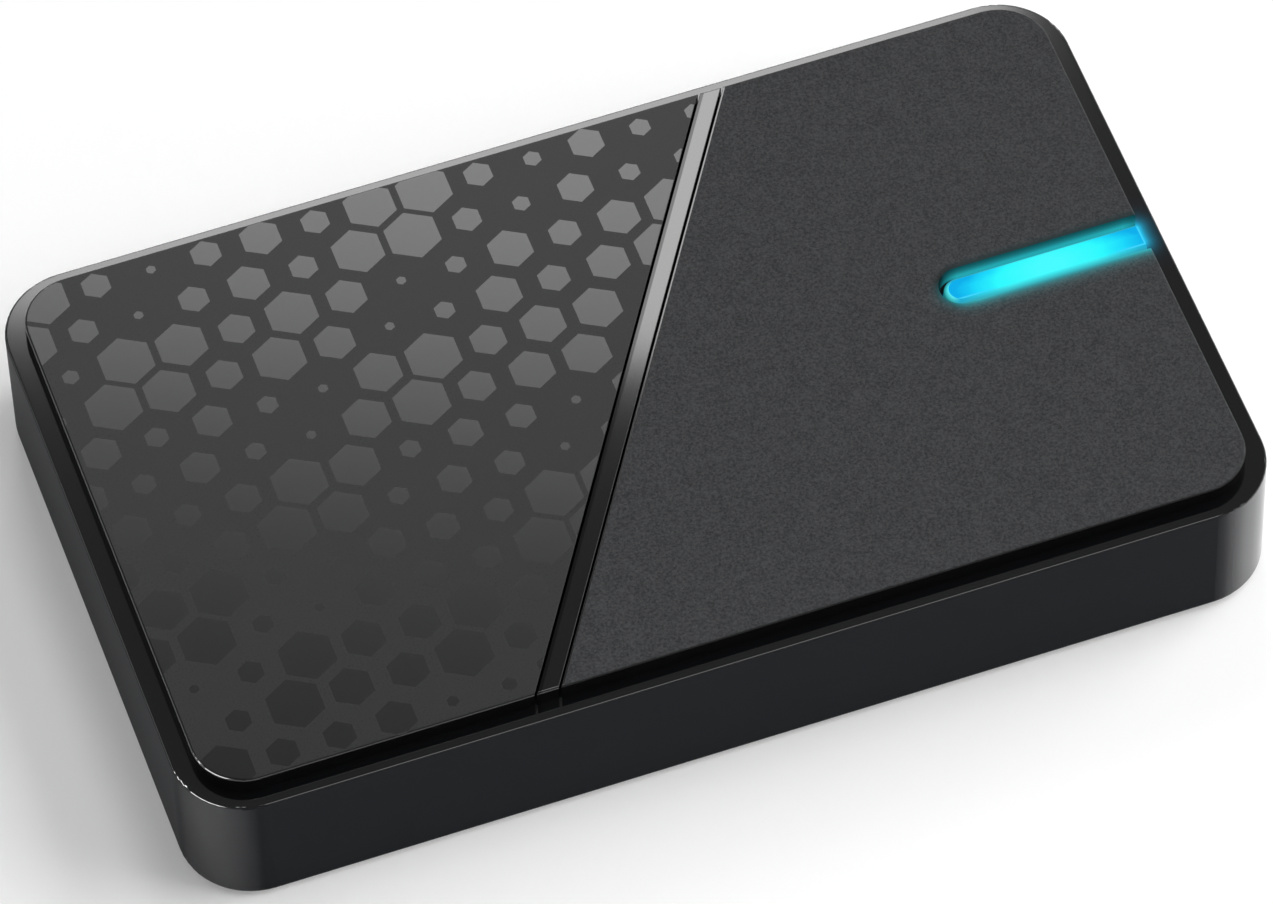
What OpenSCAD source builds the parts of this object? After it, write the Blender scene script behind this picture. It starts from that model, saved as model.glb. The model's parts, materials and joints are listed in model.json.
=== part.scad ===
// Video capture box: a low moulded case with two top panels, a slanted strip between them, a light bar,
// a row of sockets in the back wall and two sound jacks in the right wall.
// The front is -Y, +Z is up, and the origin lies under the middle of the case, on the surface it stands on.

/* [Case] */
// Length of the case, left to right
body_w = 117.6; // [110:0.1:130]
// Depth of the case, front to back
body_d = 71; // [66:0.1:80]
// Height from the standing surface to the top of the panels
body_h = 17.8; // [16:0.1:22]
// Radius of the upright corners
corner_r = 7.8; // [6.6:0.1:9]
// Thickness of the side walls
wall_t = 2; // [1.7:0.1:2.4]
// Thickness of the deck under the panels
deck_t = 1.8; // [1.6:0.1:2.2]
// Rounding of the walls' upper edge
rim_r = 0.25; // [0.1:0.05:0.8]
// Rounding of the walls' lower edge
base_r = 0.6; // [0.3:0.05:0.9]
// Width of the glossy ledge round the panels
ledge_w = 2.2; // [1.6:0.1:3.2]

/* [Bottom cover and feet] */
// Thickness of the bottom cover
floor_t = 1.8; // [1.6:0.1:2.2]
// Width of the step in the wall that takes the bottom cover
cover_step = 0.9; // [0.6:0.1:1.1]
// Gap between the bottom cover and the wall
cover_gap = 0.1; // [0.05:0.05:0.2]
// Distance of the case screws and feet from the sides
post_inset = 8.6; // [8:0.1:9.6]
// Radius of the screw posts under the deck
post_r = 3.2; // [2.8:0.1:3.4]
// Radius of the posts on the bottom cover
cover_post_r = 4; // [3.6:0.1:4.2]
// Height of the bottom cover's posts above the cover
cover_post_h = 3.4; // [3:0.1:3.8]
// Thickness of the shoulder that a case screw clamps
clamp_t = 1.8; // [1.4:0.1:2.2]
// Radius of a rubber foot
foot_r = 5; // [4.4:0.1:5.4]
// Thickness of a rubber foot
foot_t = 1.5; // [1.2:0.1:1.6]
// How far the feet stand out below the case
foot_proud = 0.5; // [0.3:0.1:0.8]
// Rounding of the feet's lower edge
foot_edge_r = 0.3; // [0.1:0.05:0.5]
// Gap round a foot in its recess
foot_gap = 0.15; // [0.05:0.05:0.3]
// Width of the ribs inside the case
rib_t = 1.2; // [0.8:0.1:1.6]
// Height of the ribs on the bottom cover
floor_rib_h = 1; // [0.6:0.1:1.2]

/* [Top panels] */
// Height of the panels above the ledge
panel_h = 1.9; // [1.4:0.1:2.4]
// Rounding of the panels' upper edge
panel_edge_r = 0.25; // [0.1:0.05:0.5]
// Bevel along both sides of the slanted strip
seam_bevel = 0.05; // [0.05:0.05:0.3]
// Width of the slanted strip
strip_w = 1.95; // [1.4:0.05:3]
// Gap on each side of the slanted strip
strip_gap = 0.25; // [0.15:0.05:0.5]
// Angle of the slanted strip from the depth direction
strip_angle = 31.8; // [20:0.1:38]
// Thickness of the adhesive sheets
tape_t = 0.15; // [0.1:0.05:0.25]
// Margin of the adhesive sheets inside the panels
tape_margin = 4; // [2:0.5:7]
// Radius of the panels' locating pegs
peg_r = 1; // [0.8:0.1:1.4]
// Radius of the strip's locating pegs
strip_peg_r = 0.6; // [0.4:0.1:0.8]
// Length of the locating pegs
peg_len = 1.2; // [0.8:0.1:1.3]
// Gap round and under a locating peg
peg_gap = 0.1; // [0.05:0.05:0.15]

/* [Light bar] */
// Width of the bar
bar_w = 3.5; // [2.8:0.1:4.4]
// Length of the bar
bar_len = 21.9; // [16:0.1:24]
// Distance of the bar's square end from the panels' right edge
bar_end_gap = 0.2; // [0.15:0.05:0.6]
// How far the bar's top lies below the panels' top
bar_sunk = 0.6; // [0.3:0.1:1]
// Bevel of the bar's upper edges
bar_bevel = 0.5; // [0.1:0.05:0.8]
// Gap between the bar and the slot in the panel
bar_slot_gap = 0.57; // [0.3:0.01:0.8]
// Gap between the bar and the slot in the deck
bar_deck_gap = 0.1; // [0.05:0.05:0.2]
// Thickness of the light pipe's flange under the deck
flange_t = 1.2; // [1:0.1:1.6]
// Width of the light pipe's flange
flange_w = 9; // [8:0.1:10]
// Length of the light pipe's leg at its foot
leg_len = 13; // [11:0.5:14]
// Distance from the lamps to the leg
leg_gap = 0.3; // [0.2:0.1:0.6]

/* [Board] */
// Thickness of the board
board_t = 1.6; // [1.2:0.1:1.8]
// Gap between the board and the right and back walls
board_gap = 0.7; // [0.5:0.1:1]
// Distance of the board screws from the left and right walls
board_screw_x = 16.8; // [15.5:0.1:18]
// Distance of the board screws from the front and back walls
board_screw_y = 6.5; // [6:0.1:7]
// Radius of the board's posts under the deck
board_post_r = 2.6; // [2.2:0.1:3]
// Thread radius of all screws
thread_r = 1.25; // [1:0.05:1.3]
// Gap between a screw and its hole
thread_gap = 0.05; // [0.02:0.01:0.1]
// Gap between a screw and the piece it clamps
screw_gap = 0.2; // [0.1:0.05:0.3]
// Radius of the screw heads
head_r = 2.2; // [2:0.1:2.4]
// Height of the screw heads
head_h = 1.5; // [1.2:0.1:1.6]
// Gap between the tips of the screws and the deck
screw_tip_gap = 2; // [0.5:0.1:3]

/* [Sockets] */
// Place of the picture input along the back wall
video_in_x = -24; // [-26:0.5:-20]
// Place of the picture output along the back wall
video_out_x = 0; // [-2:0.5:2]
// Place of the data socket along the back wall
data_x = 20; // [17:0.5:26]
// Distance of each sound jack from the middle of the right wall
jack_y = 13; // [10.5:0.5:15]
// How far the socket mouths lie behind the outer face of the wall
mouth_recess = 0.6; // [0.4:0.1:1]
// Gap between a socket and its window
window_gap = 0.3; // [0.15:0.05:0.4]
// How much a jack's window widens towards the outside
window_flare = 0.4; // [0.1:0.05:0.6]
// Height of the sound jacks above the board
jack_h = 5.7; // [5.2:0.1:6.2]

/* [Hidden] */
$fn = 64;
// How far a cut runs past the face it opens
over = 1;

// Levels, from the standing surface up
case_z0 = foot_proud;
floor_top = case_z0 + floor_t;
cover_post_top = floor_top + cover_post_h;
ledge_z = body_h - panel_h;
deck_z0 = ledge_z - deck_t;
// The board leaves as much room under its screw heads as above the sound jacks
board_room = deck_z0 - floor_top - head_h - board_t - jack_h;
board_z0 = floor_top + head_h + board_room / 2;
board_z1 = board_z0 + board_t;
case_screw_len = deck_z0 - screw_tip_gap - cover_post_top + clamp_t;
board_screw_len = deck_z0 - screw_tip_gap - board_z0;

// Half sizes of the cavity, the panels and the bottom cover
cavity_x = body_w / 2 - wall_t;
cavity_y = body_d / 2 - wall_t;
cavity_r = corner_r - wall_t;
panel_x = body_w / 2 - ledge_w;
panel_y = body_d / 2 - ledge_w;
panel_r = corner_r - ledge_w;
step_x = cavity_x + cover_step;
step_y = cavity_y + cover_step;
step_r = cavity_r + cover_step;
post_x = body_w / 2 - post_inset;
post_y = body_d / 2 - post_inset;

// The board drops in a little to the front left, then slides back so that the mouths enter their windows
mouth_reach = wall_t - mouth_recess;
board_slide = mouth_reach + board_gap;
board_x0 = -cavity_x + board_gap + board_slide;
board_x1 = cavity_x - board_gap;
board_y0 = -cavity_y + board_gap + board_slide;
board_y1 = cavity_y - board_gap;
board_post_x = cavity_x - board_screw_x;
board_post_y = cavity_y - board_screw_y;
notch_gap = 0.5;

// Slanted seam, pegs and adhesive sheets
seam_half = strip_w / 2 + strip_gap;
strip_reach = body_w;
peg_inset = 9;
tape_peg_gap = 1;
tape_slot_gap = 2;

// Light bar
bar_x1 = panel_x - bar_end_gap;
bar_x0 = bar_x1 - bar_len;
bar_top = body_h - bar_sunk;
bar_r = bar_w / 2;
flange_z0 = deck_z0 - flange_t;
flange_lip = 3.4;
flange_x0 = bar_x0 - flange_lip;
flange_x1 = cavity_x - board_gap;
stake_r = 0.8;
stake_gap = 0.08;
stake_side_inset = 1.3;
stake_end_inset = 1.6;
stake_y = flange_w / 2 - stake_side_inset;
stake_x = flange_x0 + stake_end_inset;
led_size = 1.6;
led_h = 0.8;
led_pitch = 5;
led_count = 3;
leg_shift = 0.5;
leg_mid = (bar_x0 + bar_x1) / 2 - leg_shift;
leg_flare = 1.5;

// Picture socket: a wide mouth with slanted lower corners, a tongue and two rows of contacts
video_w = 14;
video_h = 4.55;
video_side = 2.6;
video_low_w = 10.4;
video_t = 0.4;
video_depth = 11.6;
video_back = 2.4;
video_tongue_w = 11.3;
video_tongue_t = 1.25;
video_tongue_up = 0.3;
video_tongue_set = 2.2;
video_contact_set = 0.6;
video_pitch = 1;
video_upper_count = 10;
video_lower_count = 9;
video_contact_w = 0.45;
video_contact_t = 0.1;
video_slope = atan2((video_w - video_low_w) / 2, video_h - video_side);
video_mid = video_h / 2 + video_t;

// Data socket: a flat mouth with round ends, a thin tongue and two rows of contacts
data_w = 8.34;
data_h = 2.56;
data_t = 0.33;
data_depth = 7.3;
data_back = 1.6;
data_tongue_w = 6.69;
data_tongue_t = 0.7;
data_tongue_set = 0.9;
data_contact_set = 0.4;
data_pitch = 0.5;
data_row_count = 12;
data_contact_w = 0.27;
data_contact_t = 0.08;
data_mid = data_h / 2 + data_t;

// Solder legs of the socket shells
leg_w = 1.5;
leg_drop = 2.2;
leg_slot_gap = 0.15;
leg_near = 2.6;
video_leg_far = 8.2;
data_leg_far = 5.6;
insert_gap = 0.04;

// Sound jack: a block with a round nose in the wall and a blind bore
jack_bore_r = 1.8;
jack_bore_len = 13;
jack_nose_r = 2.7;
jack_nose_root = 0.6;
jack_nose_len = mouth_reach + board_gap + jack_nose_root;
jack_len = 14.2;
jack_w = 6.4;
jack_mid = 2.9;
jack_nose_chamfer = 0.3;
jack_spring_t = 0.3;
jack_spring_w = 1.6;
jack_spring_h = 4.2;
jack_spring_foot = 1;
jack_spring_at = [5.2, 10.4];

// Chips and small pieces on the board: place and size
processor_at = [-12, -8];
processor_size = 15;
processor_h = 1.4;
pad_size = 14;
pad_h = 0.5;
sink_size = 28;
sink_base = 1.5;
sink_fins = 9;
sink_fin_t = 0.9;
sink_air = 0.3;
sink_z0 = board_z1 + processor_h + pad_h;
sink_fin_h = deck_z0 - sink_air - sink_z0 - sink_base;
memory_x = board_x0 + 16;
memory_at = [[memory_x, -2], [memory_x, -14]];
memory_size = [8, 10, 1.1];
receiver_inset = 19.8;
receiver_at = [video_in_x, board_y1 - receiver_inset];
receiver_size = [9, 9, 0.9];
bridge_inset = 17.8;
bridge_at = [data_x, board_y1 - bridge_inset];
bridge_size = [8, 8, 0.9];
codec_inset = 22.1;
codec_at = [board_x1 - codec_inset, jack_y - 1];
codec_size = [5, 5, 0.8];
flash_at = [12, -15];
flash_size = [5.2, 4, 1.6];
crystal_at = [[8, -3], [data_x + 7, 8]];
crystal_size = [3.2, 2.5, 0.8];
inductor_y = board_y0 + 5.4;
inductor_at = [[13, inductor_y], [20, inductor_y], [27, inductor_y]];
inductor_size = 4.2;
inductor_h = 2.2;
inductor_chamfer = 0.8;
capacitor_x = board_x0 + 7;
capacitor_y = board_y0 + 3.4;
capacitor_at = [[capacitor_x, 8], [capacitor_x, 0], [-4, capacitor_y], [3, capacitor_y]];
capacitor_r = 2.5;
capacitor_h = 5.4;
capacitor_base = 1;
ceramic_size = [1, 0.5, 0.5];
ceramic_rows = [[-26, -25], [14, 4]];
ceramic_count = 9;
ceramic_pitch = 1.8;

// Screw heads: the cut round their edge and the cross for the driver
head_round = 0.55;
drive_r = 0.9;
drive_w = 0.45;

// Colours of the materials
satin_black = "#242527";
gloss_black = "#16171a";
panel_grey = "#3d3e40";
grain_grey = "#414245";
bar_cyan = "#2ee6ff";
board_green = "#1f4a35";
chip_black = "#1b1c1e";
metal_grey = "#b9bcc0";
contact_gold = "#d0a94f";
rubber_black = "#1d1d1d";

// A plate with round upright corners. The upper and lower outer edges are rounded where a radius is given.
// half_x and half_y are half its sizes, and r is the corners' radius.
module round_plate(half_x, half_y, r, z0, z1, up_r = 0, low_r = 0) {
    flat_x = half_x - r;
    flat_y = half_y - r;
    translate([-flat_x, -flat_y, z0])
        cube([2 * flat_x, 2 * flat_y, z1 - z0]);
    for (turn = [0 : 3]) {
        // The quarters and the straight sides follow one another round the plate
        along = turn % 2 == 0 ? flat_x : flat_y;
        across = turn % 2 == 0 ? flat_y : flat_x;
        rotate(90 * turn) {
            translate([along, across, 0])
                rotate_extrude(angle = 90)
                    edge_profile(r, z0, z1, up_r, low_r);
            translate([along, across, 0])
                rotate([90, 0, 0])
                    linear_extrude(2 * across)
                        edge_profile(r, z0, z1, up_r, low_r);
        }
    }
}

// Section through the rim of a round plate, from the corner's axis outwards
module edge_profile(r, z0, z1, up_r, low_r) {
    difference() {
        translate([0, z0])
            square([r, z1 - z0]);
        if (up_r > 0)
            translate([r - up_r, z1 - up_r])
                corner_waste(up_r);
        if (low_r > 0)
            translate([r - low_r, z0 + low_r])
                mirror([0, 1])
                    corner_waste(low_r);
    }
}

// What a rounding of radius r takes off a square corner
module corner_waste(r) {
    difference() {
        square(r + over);
        circle(r);
    }
}

// The four places of the case screws and feet
module at_posts() {
    for (sx = [-1, 1], sy = [-1, 1])
        translate([sx * post_x, sy * post_y, 0])
            children();
}

// The four places of the board screws
module at_board_posts() {
    for (sx = [-1, 1], sy = [-1, 1])
        translate([sx * board_post_x, sy * board_post_y, 0])
            children();
}

// A socket's own place: its mouth at y = 0 facing outwards, the board's top at z = 0
module at_back(x) {
    translate([x, body_d / 2 - mouth_recess, board_z1])
        children();
}

module at_right(y) {
    translate([body_w / 2 - mouth_recess, y, board_z1])
        rotate(-90)
            children();
}

// Extrudes a section from a socket's mouth into the case
module inwards(start, depth) {
    translate([0, -start, 0])
        rotate([90, 0, 0])
            linear_extrude(depth)
                children();
}

// Turns the X axis square to the slanted strip, with the strip along Y
module along_strip() {
    rotate(-strip_angle)
        children();
}

// Case
module upper_case() {
    color(satin_black)
        difference() {
            union() {
                difference() {
                    round_plate(body_w / 2, body_d / 2, corner_r, case_z0, ledge_z, rim_r, base_r);
                    round_plate(cavity_x, cavity_y, cavity_r, case_z0 - over, deck_z0);
                    round_plate(step_x, step_y, step_r, case_z0 - over, floor_top);
                }
                at_posts()
                    translate([0, 0, cover_post_top])
                        cylinder(h = deck_z0 + deck_t / 2 - cover_post_top, r = post_r);
                post_ribs();
                at_board_posts()
                    translate([0, 0, board_z1])
                        cylinder(h = deck_z0 + deck_t / 2 - board_z1, r = board_post_r);
                light_stakes(flange_t + deck_t / 2);
            }
            at_posts()
                translate([0, 0, cover_post_top - over])
                    cylinder(h = over + deck_z0 - cover_post_top, r = thread_r + thread_gap);
            at_board_posts()
                translate([0, 0, board_z1 - over])
                    cylinder(h = over + deck_z0 - board_z1, r = thread_r + thread_gap);
            socket_windows();
            light_slot(bar_deck_gap, deck_z0 - over, ledge_z + over, bar_deck_gap);
            panel_pegs(peg_r + peg_gap, strip_peg_r + peg_gap, peg_len + peg_gap);
        }
}

// Ribs that tie each screw post to both walls
module post_ribs() {
    rib_z0 = board_z1 + board_t;
    for (sx = [-1, 1], sy = [-1, 1]) {
        translate([sx * (post_x + cavity_x + wall_t / 2) / 2, sy * post_y, (rib_z0 + ledge_z - deck_t / 2) / 2])
            cube([cavity_x + wall_t / 2 - post_x, rib_t, ledge_z - deck_t / 2 - rib_z0], center = true);
        translate([sx * post_x, sy * (post_y + cavity_y + wall_t / 2) / 2, (rib_z0 + ledge_z - deck_t / 2) / 2])
            cube([rib_t, cavity_y + wall_t / 2 - post_y, ledge_z - deck_t / 2 - rib_z0], center = true);
    }
}

// Windows for the sockets in the back wall and the jacks in the right wall
module socket_windows() {
    for (x = [video_in_x, video_out_x])
        at_back(x)
            inwards(-mouth_recess - over, mouth_recess + wall_t + 2 * over)
                translate([0, video_mid])
                    polygon(video_outline(video_t + window_gap));
    at_back(data_x)
        translate([0, mouth_recess + over, data_mid])
            pill(data_w + 2 * (data_t + window_gap), data_h + 2 * (data_t + window_gap),
                mouth_recess + wall_t + 2 * over);
    for (side = [-1, 1])
        at_right(side * jack_y)
            translate([0, mouth_recess + over, jack_mid])
                rotate([90, 0, 0])
                    cylinder(h = mouth_recess + wall_t + 2 * over,
                        r1 = jack_nose_r + window_gap + window_flare, r2 = jack_nose_r + window_gap);
}

// Bottom cover: a plate that sits in the wall's step, with posts for the screws and recesses for the feet
module bottom_cover() {
    color(satin_black)
        difference() {
            union() {
                round_plate(step_x - cover_gap, step_y - cover_gap, step_r - cover_gap, case_z0, floor_top);
                at_posts()
                    translate([0, 0, case_z0])
                        cylinder(h = cover_post_top - case_z0, r = cover_post_r);
                floor_ribs();
            }
            at_posts() {
                translate([0, 0, case_z0 - over])
                    cylinder(h = foot_t - case_z0 + over, r = foot_r + foot_gap);
                cylinder(h = cover_post_top - clamp_t, r = head_r + screw_gap);
                cylinder(h = cover_post_top + over, r = thread_r + screw_gap);
            }
        }
}

// Stiffening ribs across the inside of the bottom cover
module floor_ribs() {
    reach_x = post_x - cover_post_r;
    reach_y = post_y - cover_post_r;
    for (side = [-1, 1]) {
        translate([-reach_x, side * reach_y / 2 - rib_t / 2, floor_top - floor_t / 2])
            cube([2 * reach_x, rib_t, floor_t / 2 + floor_rib_h]);
        translate([side * reach_x / 2 - rib_t / 2, -reach_y, floor_top - floor_t / 2])
            cube([rib_t, 2 * reach_y, floor_t / 2 + floor_rib_h]);
    }
}

// Everything to one side of the slanted seam: side is -1 for the left and 1 for the right
module seam_side(side, z0, z1) {
    along_strip()
        translate([side > 0 ? seam_half : -seam_half - strip_reach, -strip_reach, z0])
            cube([strip_reach, 2 * strip_reach, z1 - z0]);
}

// The bevel along a seam edge, cut off a piece that lies on that side of the edge
module seam_bevel_cut(edge, side) {
    along_strip()
        translate([edge, strip_reach, body_h])
            rotate([90, 0, 0])
                linear_extrude(2 * strip_reach)
                    polygon([
                        [-side * over, over],
                        [-side * over, -seam_bevel - over],
                        [0, -seam_bevel],
                        [side * seam_bevel, 0],
                        [side * (seam_bevel + over), over]
                    ]);
}

// The plate that both panels and the strip are cut from
module panel_blank() {
    round_plate(panel_x, panel_y, panel_r, ledge_z, body_h, panel_edge_r);
}

// Where the pegs of each panel stand, from the panels' edges
left_pegs = [
    [-panel_x + peg_inset, panel_y - peg_inset],
    [-panel_x + peg_inset, -panel_y + peg_inset],
    [seam_x(panel_y - peg_inset) - peg_inset, panel_y - peg_inset],
    [seam_x(-panel_y + peg_inset) - peg_inset, -panel_y + peg_inset]
];
right_pegs = [for (p = left_pegs) -p];
strip_pegs = [for (k = [-1 : 1]) k * (panel_y - peg_inset)];

// Where the slanted strip's middle line crosses the depth y
function seam_x(y) = y * tan(strip_angle);

module pegs_at(places, r, len) {
    for (p = places)
        translate([p[0], p[1], ledge_z - len])
            cylinder(h = len + panel_h / 2, r = r);
}

// All the pegs, or with wider radii the holes that take them
module panel_pegs(panel_peg_r, narrow_peg_r, len) {
    pegs_at(left_pegs, panel_peg_r, len);
    pegs_at(right_pegs, panel_peg_r, len);
    pegs_at([for (y = strip_pegs) [seam_x(y), y]], narrow_peg_r, len);
}

// Outline of the adhesive sheet under the left panel, and turned half round under the right one
module tape_outline() {
    slant_margin = seam_half / cos(strip_angle) + tape_margin;
    low = -panel_y + tape_margin;
    high = panel_y - tape_margin;
    difference() {
        polygon([
            [-panel_x + tape_margin, low],
            [seam_x(low) - slant_margin, low],
            [seam_x(high) - slant_margin, high],
            [-panel_x + tape_margin, high]
        ]);
        for (p = left_pegs)
            translate(p)
                circle(peg_r + tape_peg_gap);
    }
}

module pattern_panel() {
    color(panel_grey)
        union() {
            difference() {
                intersection() {
                    panel_blank();
                    seam_side(-1, ledge_z - over, body_h + over);
                }
                seam_bevel_cut(-seam_half, -1);
                translate([0, 0, ledge_z - over])
                    linear_extrude(over + tape_t)
                        tape_outline();
            }
            pegs_at(left_pegs, peg_r, peg_len);
        }
}

module texture_panel() {
    color(grain_grey)
        union() {
            difference() {
                intersection() {
                    panel_blank();
                    seam_side(1, ledge_z - over, body_h + over);
                }
                seam_bevel_cut(seam_half, 1);
                light_slot(bar_slot_gap, ledge_z - over, body_h + over, bar_end_gap + over);
                translate([0, 0, ledge_z - over])
                    linear_extrude(over + tape_t)
                        texture_tape_outline();
            }
            pegs_at(right_pegs, peg_r, peg_len);
        }
}

module texture_tape_outline() {
    slot_half = bar_r + bar_slot_gap + tape_slot_gap;
    difference() {
        rotate(180)
            tape_outline();
        translate([bar_x0 - tape_margin, -slot_half])
            square([panel_x, 2 * slot_half]);
    }
}

module divider_strip() {
    color(gloss_black)
        union() {
            difference() {
                intersection() {
                    panel_blank();
                    along_strip()
                        translate([-strip_w / 2, -strip_reach, ledge_z - over])
                            cube([strip_w, 2 * strip_reach, panel_h + 2 * over]);
                }
                seam_bevel_cut(-strip_w / 2, 1);
                seam_bevel_cut(strip_w / 2, -1);
            }
            pegs_at([for (y = strip_pegs) [seam_x(y), y]], strip_peg_r, peg_len);
        }
}

module pattern_panel_tape() {
    color(rubber_black)
        translate([0, 0, ledge_z])
            linear_extrude(tape_t)
                tape_outline();
}

module texture_panel_tape() {
    color(rubber_black)
        translate([0, 0, ledge_z])
            linear_extrude(tape_t)
                texture_tape_outline();
}

// The bar's slot, widened by gap all round and by end_gap past its square end
module light_slot(gap, z0, z1, end_gap) {
    translate([bar_x0 + bar_r, 0, z0]) {
        rotate(90)
            rotate_extrude(angle = 180)
                square([bar_r + gap, z1 - z0]);
        translate([0, -bar_r - gap, 0])
            cube([bar_x1 + end_gap - bar_x0 - bar_r, bar_w + 2 * gap, z1 - z0]);
    }
}

// Half the bar's section, from its middle outwards
module bar_half_section() {
    polygon([
        [0, deck_z0],
        [bar_r, deck_z0],
        [bar_r, bar_top - bar_bevel],
        [bar_r - bar_bevel, bar_top],
        [0, bar_top]
    ]);
}

// Stakes under the deck that hold the light pipe's flange
module light_stakes(len) {
    for (p = [[stake_x, 0], [leg_mid, stake_y], [leg_mid, -stake_y]])
        translate([p[0], p[1], flange_z0])
            cylinder(h = len, r = stake_r);
}

module light_pipe() {
    leg_top = leg_len / 2 + leg_flare;
    leg_foot = board_z1 + led_h + leg_gap;
    color(bar_cyan)
        difference() {
            union() {
                translate([bar_x0 + bar_r, 0, 0]) {
                    rotate(90)
                        rotate_extrude(angle = 180)
                            bar_half_section();
                    rotate([90, 0, 90])
                        linear_extrude(bar_x1 - bar_x0 - bar_r)
                            union() {
                                bar_half_section();
                                mirror([1, 0])
                                    bar_half_section();
                            }
                }
                translate([flange_x0, -flange_w / 2, flange_z0])
                    cube([flange_x1 - flange_x0, flange_w, flange_t]);
                translate([leg_mid, bar_r, 0])
                    rotate([90, 0, 0])
                        linear_extrude(bar_w)
                            polygon([
                                [-leg_len / 2, leg_foot],
                                [leg_len / 2, leg_foot],
                                [leg_top, flange_z0],
                                [-leg_top, flange_z0]
                            ]);
            }
            for (p = [[stake_x, 0], [leg_mid, stake_y], [leg_mid, -stake_y]])
                translate([p[0], p[1], flange_z0 - over])
                    cylinder(h = flange_t + over, r = stake_r + stake_gap);
        }
}

module status_leds() {
    color("white")
        for (k = [0 : led_count - 1])
            translate([leg_mid + (k - (led_count - 1) / 2) * led_pitch, 0, board_z1 + led_h / 2])
                cube([led_size, led_size, led_h], center = true);
}

// Board
module main_board() {
    notch_x = post_x - cover_post_r - notch_gap - board_slide;
    notch_y = post_y - cover_post_r - notch_gap - board_slide;
    color(board_green)
        difference() {
            translate([board_x0, board_y0, board_z0])
                cube([board_x1 - board_x0, board_y1 - board_y0, board_t]);
            for (sx = [-1, 1], sy = [-1, 1])
                translate([sx * notch_x, sy * notch_y, board_z0 - over])
                    mirror([sx < 0 ? 1 : 0, 0, 0])
                        mirror([0, sy < 0 ? 1 : 0, 0])
                            cube([body_w, body_d, board_t + 2 * over]);
            at_board_posts()
                translate([0, 0, board_z0 - over])
                    cylinder(h = board_t + 2 * over, r = thread_r + screw_gap);
            for (x = [video_in_x, video_out_x])
                at_back(x)
                    shell_legs(video_w, video_t, video_mid, video_leg_far, leg_slot_gap);
            at_back(data_x)
                shell_legs(data_w, data_t, data_mid, data_leg_far, leg_slot_gap);
        }
}

// A chip that lies on the board
module chip(at, size) {
    translate([at[0] - size[0] / 2, at[1] - size[1] / 2, board_z1])
        cube(size);
}

module capture_processor() {
    color(chip_black)
        chip(processor_at, [processor_size, processor_size, processor_h]);
}

module thermal_pad() {
    color("lightsteelblue")
        translate([0, 0, processor_h])
            chip(processor_at, [pad_size, pad_size, pad_h]);
}

module heat_sink() {
    fin_step = (sink_size - sink_fin_t) / (sink_fins - 1);
    color(metal_grey)
        translate([processor_at[0] - sink_size / 2, processor_at[1] - sink_size / 2, sink_z0]) {
            cube([sink_size, sink_size, sink_base]);
            for (k = [0 : sink_fins - 1])
                translate([k * fin_step, 0, sink_base])
                    cube([sink_fin_t, sink_size, sink_fin_h]);
        }
}

module memory_chips() {
    color(chip_black)
        for (at = memory_at)
            chip(at, memory_size);
}

module video_receiver_chip() {
    color(chip_black)
        chip(receiver_at, receiver_size);
}

module data_bridge_chip() {
    color(chip_black)
        chip(bridge_at, bridge_size);
}

module audio_codec_chip() {
    color(chip_black)
        chip(codec_at, codec_size);
}

module flash_chip() {
    color(chip_black)
        chip(flash_at, flash_size);
}

module clock_crystals() {
    color(metal_grey)
        for (at = crystal_at)
            chip(at, crystal_size);
}

// Square coils with cut corners
module power_inductors() {
    half = inductor_size / 2;
    cut = half - inductor_chamfer;
    color("dimgray")
        for (at = inductor_at)
            translate([at[0], at[1], board_z1])
                linear_extrude(inductor_h)
                    polygon([
                        [-cut, -half], [cut, -half], [half, -cut], [half, cut],
                        [cut, half], [-cut, half], [-half, cut], [-half, -cut]
                    ]);
}

// Round cans on square bases
module bulk_capacitors() {
    color(metal_grey)
        for (at = capacitor_at) {
            chip(at, [2 * capacitor_r, 2 * capacitor_r, capacitor_base]);
            translate([at[0], at[1], board_z1])
                cylinder(h = capacitor_h, r = capacitor_r);
        }
}

module ceramic_capacitors() {
    color("tan")
        for (row = ceramic_rows, k = [0 : ceramic_count - 1])
            chip(row + [k * ceramic_pitch, 0], ceramic_size);
}

// Outline of a picture socket's mouth, moved outwards by t
function video_outline(t) =
    let (
        half = video_w / 2 + t,
        top = video_h / 2 + t,
        knee = video_h / 2 - video_side - t * tan(video_slope / 2),
        low = video_low_w / 2 + t * tan(45 - video_slope / 2)
    )
    [[-half, top], [half, top], [half, knee], [low, -top], [-low, -top], [-half, knee]];

// Legs on both sides of a socket's shell, down through the board, or with a gap the slots for them
module shell_legs(mouth_w, t, mid, far, gap = 0) {
    for (sx = [-1, 1], y = [leg_near, far])
        translate([sx * (mouth_w + t) / 2 - t / 2 - gap, -y - leg_w / 2 - gap, -leg_drop])
            cube([t + 2 * gap, leg_w + 2 * gap, leg_drop + mid]);
}

module video_shell() {
    color(metal_grey) {
        inwards(0, video_depth)
            translate([0, video_mid])
                difference() {
                    polygon(video_outline(video_t));
                    polygon(video_outline(0));
                }
        shell_legs(video_w, video_t, video_mid, video_leg_far);
    }
}

module video_insert() {
    tongue_len = video_depth - video_back - video_tongue_set;
    color(chip_black) {
        inwards(video_depth - video_back, video_back)
            translate([0, video_mid])
                polygon(video_outline(-insert_gap));
        translate([-video_tongue_w / 2, -video_tongue_set - tongue_len, video_mid + video_tongue_up - video_tongue_t / 2])
            cube([video_tongue_w, tongue_len, video_tongue_t]);
    }
}

// One row of contact strips on a tongue
module contact_row(count, pitch, w, len, t, start, z) {
    for (k = [0 : count - 1])
        translate([(k - (count - 1) / 2) * pitch - w / 2, -start - len, z])
            cube([w, len, t]);
}

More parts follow.
